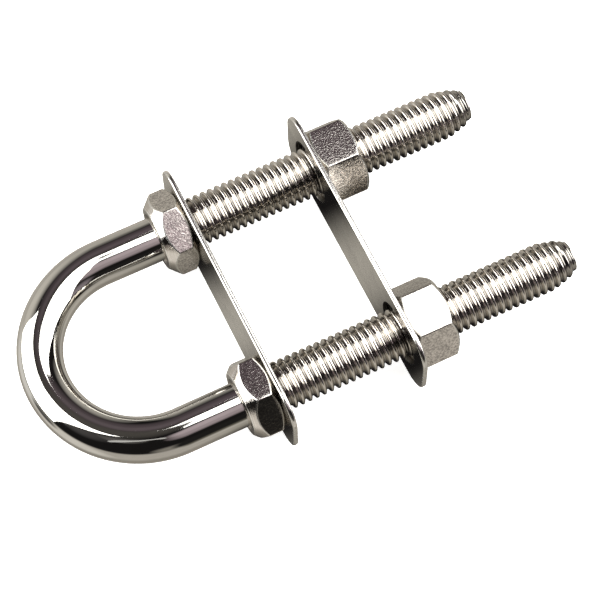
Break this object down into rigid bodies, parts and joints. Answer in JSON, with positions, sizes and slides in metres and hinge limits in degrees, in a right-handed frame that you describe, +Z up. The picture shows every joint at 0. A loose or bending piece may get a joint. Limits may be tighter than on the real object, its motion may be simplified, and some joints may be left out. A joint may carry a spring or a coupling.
{
  "type": "bow eye",
  "caption": "U-shaped towing eye with threaded legs, two flat plates that sandwich a hull, and hexagon nuts.",
  "frame": {"origin": "middle of the bow plate's hull-side face, halfway between the two legs", "axes": "+X along the legs from the eye to the leg tips, +Y across the legs to the left leg, +Z up, with the object lying flat on the long edges of its plates"},
  "size_m": [0.136, 0.0764, 0.0238],
  "materials": {
    "polished_rod": "mirror-polished stainless steel, bright rolled thread on the legs",
    "plate_steel": "satin stainless steel with bright edges",
    "nut_steel": "grainy satin stainless steel with bright chamfers"
  },
  "bodies": {
    "root": {"u_bolt": "polished_rod", "bow_plate": "plate_steel", "backing_plate": "plate_steel", "bow_nut_left": "nut_steel", "bow_nut_right": "nut_steel", "backing_nut_left": "nut_steel", "backing_nut_right": "nut_steel"}
  },
  "joints": []
}
